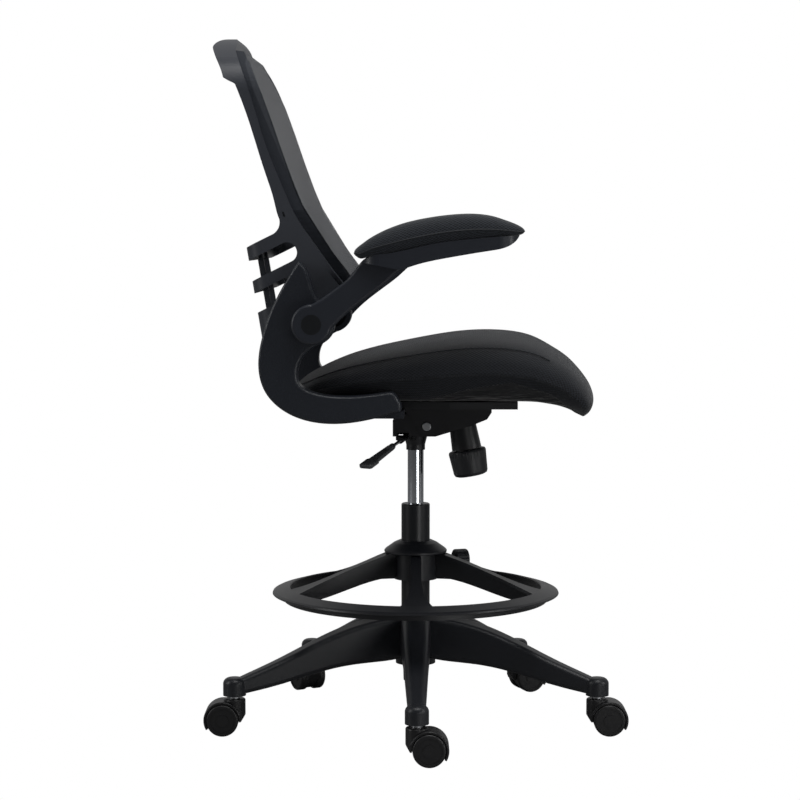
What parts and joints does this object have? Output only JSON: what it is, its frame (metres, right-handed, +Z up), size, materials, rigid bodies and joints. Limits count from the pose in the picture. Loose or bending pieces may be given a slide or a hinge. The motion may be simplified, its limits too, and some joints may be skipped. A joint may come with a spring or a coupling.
{
  "type": "drafting chair",
  "caption": "Tall swivel drafting chair with mesh back, flip-up padded arms, foot ring, gas lift, tilt mechanism and twin-wheel castors on a star base.",
  "frame": {"origin": "on the floor, on the axis of the gas column", "axes": "+Z up; the chair faces -Y; the sitter's right side is -X"},
  "size_m": [0.6734, 0.7318, 1.197],
  "materials": {
    "base_plastic": "fine matte, glass-filled nylon",
    "ring_plastic": "fine matte moulded",
    "castor_plastic": "matte moulded",
    "wheel_plastic": "smooth, slightly satin rolling rim",
    "knob_plastic": "satin",
    "column_paint": "semi-gloss powder coat",
    "cover_plastic": "matte",
    "bush_plastic": "smooth acetal",
    "chrome_tube": "bright chrome",
    "steel": "zinc plated",
    "mechanism_paint": "black powder coat on pressed steel",
    "lever_plastic": "grey satin grip",
    "board_plastic": "ribbed moulding, matte",
    "seat_fabric": "dark woven mesh",
    "pad_fabric": "dark woven mesh",
    "support_plastic": "fine pebble grain",
    "arm_plastic": "smooth satin",
    "frame_plastic": "satin grey",
    "border_fabric": "dark woven border",
    "mesh_fabric": "open woven mesh under tension"
  },
  "bodies": {
    "base": {"star_base": "base_plastic", "castor_stems": "steel", "column_tube": "column_paint", "column_bush": "bush_plastic", "thrust_bearing": "steel", "column_clip": "steel"},
    "piston": {"piston_rod": "steel"},
    "lift": {"gas_cylinder": "chrome_tube", "taper_cup": "mechanism_paint", "mechanism_housing": "mechanism_paint", "tilt_pin": "steel", "spring_cover": "cover_plastic", "tension_spring": "steel", "tension_bolt": "steel"},
    "pin": {"release_pin": "steel"},
    "knob": {"tension_knob": "knob_plastic"},
    "lever": {"lever_sleeve": "mechanism_paint"},
    "lever_slide": {"lever_rod": "steel", "lever_paddle": "lever_plastic"},
    "seat": {"seat_plate": "mechanism_paint", "seat_board": "board_plastic", "seat_cushion": "seat_fabric", "seat_bolts": "steel", "right_support": "support_plastic", "left_support": "support_plastic", "support_bolts": "steel", "back_frame": "frame_plastic", "mesh_carrier": "border_fabric", "back_mesh": "mesh_fabric", "right_arm_pin": "arm_plastic", "left_arm_pin": "arm_plastic"},
    "right_arm": {"right_arm": "arm_plastic", "right_arm_pad": "pad_fabric"},
    "left_arm": {"left_arm": "arm_plastic", "left_arm_pad": "pad_fabric"},
    "ring": {"foot_ring": "ring_plastic", "foot_ring_bush": "bush_plastic"},
    "ring_knob": {"foot_ring_knob": "knob_plastic", "foot_ring_stud": "steel"},
    "castor_1": {"castor_1_housing": "castor_plastic", "castor_1_axle": "steel"},
    "castor_1_wheel_a": {"castor_1_wheel_a": "wheel_plastic"},
    "castor_1_wheel_b": {"castor_1_wheel_b": "wheel_plastic"},
    "castor_2": {"castor_2_housing": "castor_plastic", "castor_2_axle": "steel"},
    "castor_2_wheel_a": {"castor_2_wheel_a": "wheel_plastic"},
    "castor_2_wheel_b": {"castor_2_wheel_b": "wheel_plastic"},
    "castor_3": {"castor_3_housing": "castor_plastic", "castor_3_axle": "steel"},
    "castor_3_wheel_a": {"castor_3_wheel_a": "wheel_plastic"},
    "castor_3_wheel_b": {"castor_3_wheel_b": "wheel_plastic"},
    "castor_4": {"castor_4_housing": "castor_plastic", "castor_4_axle": "steel"},
    "castor_4_wheel_a": {"castor_4_wheel_a": "wheel_plastic"},
    "castor_4_wheel_b": {"castor_4_wheel_b": "wheel_plastic"},
    "castor_5": {"castor_5_housing": "castor_plastic", "castor_5_axle": "steel"},
    "castor_5_wheel_a": {"castor_5_wheel_a": "wheel_plastic"},
    "castor_5_wheel_b": {"castor_5_wheel_b": "wheel_plastic"}
  },
  "joints": [
    {"name": "seat_swivel", "type": "hinge", "parent": "base", "child": "piston", "pos_m": [0, 0, 0.08], "axis": [0, 0, 1], "continuous": true},
    {"name": "height_adjust", "type": "slide", "parent": "piston", "child": "lift", "axis": [0, 0, 1], "range_m": [-0.086, 0.111]},
    {"name": "release_press", "type": "slide", "parent": "lift", "child": "pin", "axis": [0, 0, -1], "range_m": [0, 0.0063]},
    {"name": "seat_tilt", "type": "hinge", "parent": "lift", "child": "seat", "pos_m": [0, -0.021, 0.53], "axis": [-1, 0, 0], "range_deg": [0, 12], "stiffness_Nm_per_rad": 60, "springref_deg": -28.65},
    {"name": "tension_turn", "type": "hinge", "parent": "lift", "child": "knob", "pos_m": [0, -0.09, 0.484], "axis": [0, 0.1736, 0.9848], "range_deg": [-720, 720]},
    {"name": "lever_lift", "type": "hinge", "parent": "lift", "child": "lever", "pos_m": [-0.03, 0.017, 0.5086], "axis": [0.1736, 0.9848, 0], "range_deg": [0, 10], "stiffness_Nm_per_rad": 0.5, "springref_deg": -11.46},
    {"name": "lever_pull", "type": "slide", "parent": "lever", "child": "lever_slide", "axis": [-0.983, 0.1733, -0.061], "range_m": [0, 0.012]},
    {"name": "right_arm_flip", "type": "hinge", "parent": "seat", "child": "right_arm", "pos_m": [-0.2825, 0.1615, 0.715], "axis": [-1, 0, 0], "range_deg": [0, 90]},
    {"name": "left_arm_flip", "type": "hinge", "parent": "seat", "child": "left_arm", "pos_m": [0.2825, 0.1615, 0.715], "axis": [-1, 0, 0], "range_deg": [0, 90]},
    {"name": "ring_slide", "type": "slide", "parent": "base", "child": "ring", "axis": [0, 0, 1], "range_m": [-0.05, 0.05]},
    {"name": "ring_knob_turn", "type": "hinge", "parent": "ring", "child": "ring_knob", "pos_m": [0.02873, -0.07893, 0.286], "axis": [0.342, -0.9397, 0], "range_deg": [0, 720]},
    {"name": "castor_1_swivel", "type": "hinge", "parent": "base", "child": "castor_1", "pos_m": [-0.3288, -0.01148, 0.06], "axis": [0, 0, 1], "continuous": true},
    {"name": "castor_1_roll_a", "type": "hinge", "parent": "castor_1", "child": "castor_1_wheel_a", "pos_m": [-0.3281, -0.03147, 0.0275], "axis": [0.9994, 0.0349, 0], "continuous": true},
    {"name": "castor_1_roll_b", "type": "hinge", "parent": "castor_1", "child": "castor_1_wheel_b", "pos_m": [-0.3281, -0.03147, 0.0275], "axis": [0.9994, 0.0349, 0], "continuous": true},
    {"name": "castor_2_swivel", "type": "hinge", "parent": "base", "child": "castor_2", "pos_m": [-0.09069, -0.31626, 0.06], "axis": [0, 0, 1], "continuous": true},
    {"name": "castor_2_roll_a", "type": "hinge", "parent": "castor_2", "child": "castor_2_wheel_a", "pos_m": [-0.08999, -0.33624, 0.0275], "axis": [0.9994, 0.0349, 0], "continuous": true},
    {"name": "castor_2_roll_b", "type": "hinge", "parent": "castor_2", "child": "castor_2_wheel_b", "pos_m": [-0.08999, -0.33624, 0.0275], "axis": [0.9994, 0.0349, 0], "continuous": true},
    {"name": "castor_3_swivel", "type": "hinge", "parent": "base", "child": "castor_3", "pos_m": [0.27275, -0.18397, 0.06], "axis": [0, 0, 1], "continuous": true},
    {"name": "castor_3_roll_a", "type": "hinge", "parent": "castor_3", "child": "castor_3_wheel_a", "pos_m": [0.28025, -0.20252, 0.0275], "axis": [0.9272, 0.3746, 0], "continuous": true},
    {"name": "castor_3_roll_b", "type": "hinge", "parent": "castor_3", "child": "castor_3_wheel_b", "pos_m": [0.28025, -0.20252, 0.0275], "axis": [0.9272, 0.3746, 0], "continuous": true},
    {"name": "castor_4_swivel", "type": "hinge", "parent": "base", "child": "castor_4", "pos_m": [0.25926, 0.20255, 0.06], "axis": [0, 0, 1], "continuous": true},
    {"name": "castor_4_roll_a", "type": "hinge", "parent": "castor_4", "child": "castor_4_wheel_a", "pos_m": [0.27622, 0.21315, 0.0275], "axis": [-0.5299, 0.848, 0], "continuous": true},
    {"name": "castor_4_roll_b", "type": "hinge", "parent": "castor_4", "child": "castor_4_wheel_b", "pos_m": [0.27622, 0.21315, 0.0275], "axis": [-0.5299, 0.848, 0], "continuous": true},
    {"name": "castor_5_swivel", "type": "hinge", "parent": "base", "child": "castor_5", "pos_m": [-0.11253, 0.30916, 0.06], "axis": [0, 0, 1], "continuous": true},
    {"name": "castor_5_roll_a", "type": "hinge", "parent": "castor_5", "child": "castor_5_wheel_a", "pos_m": [-0.11322, 0.32915, 0.0275], "axis": [-0.9994, -0.0349, 0], "continuous": true},
    {"name": "castor_5_roll_b", "type": "hinge", "parent": "castor_5", "child": "castor_5_wheel_b", "pos_m": [-0.11322, 0.32915, 0.0275], "axis": [-0.9994, -0.0349, 0], "continuous": true}
  ],
  "couplings": [
    {"joint": "release_press", "follows": "lever_lift", "m_per_rad": 0.036}
  ]
}
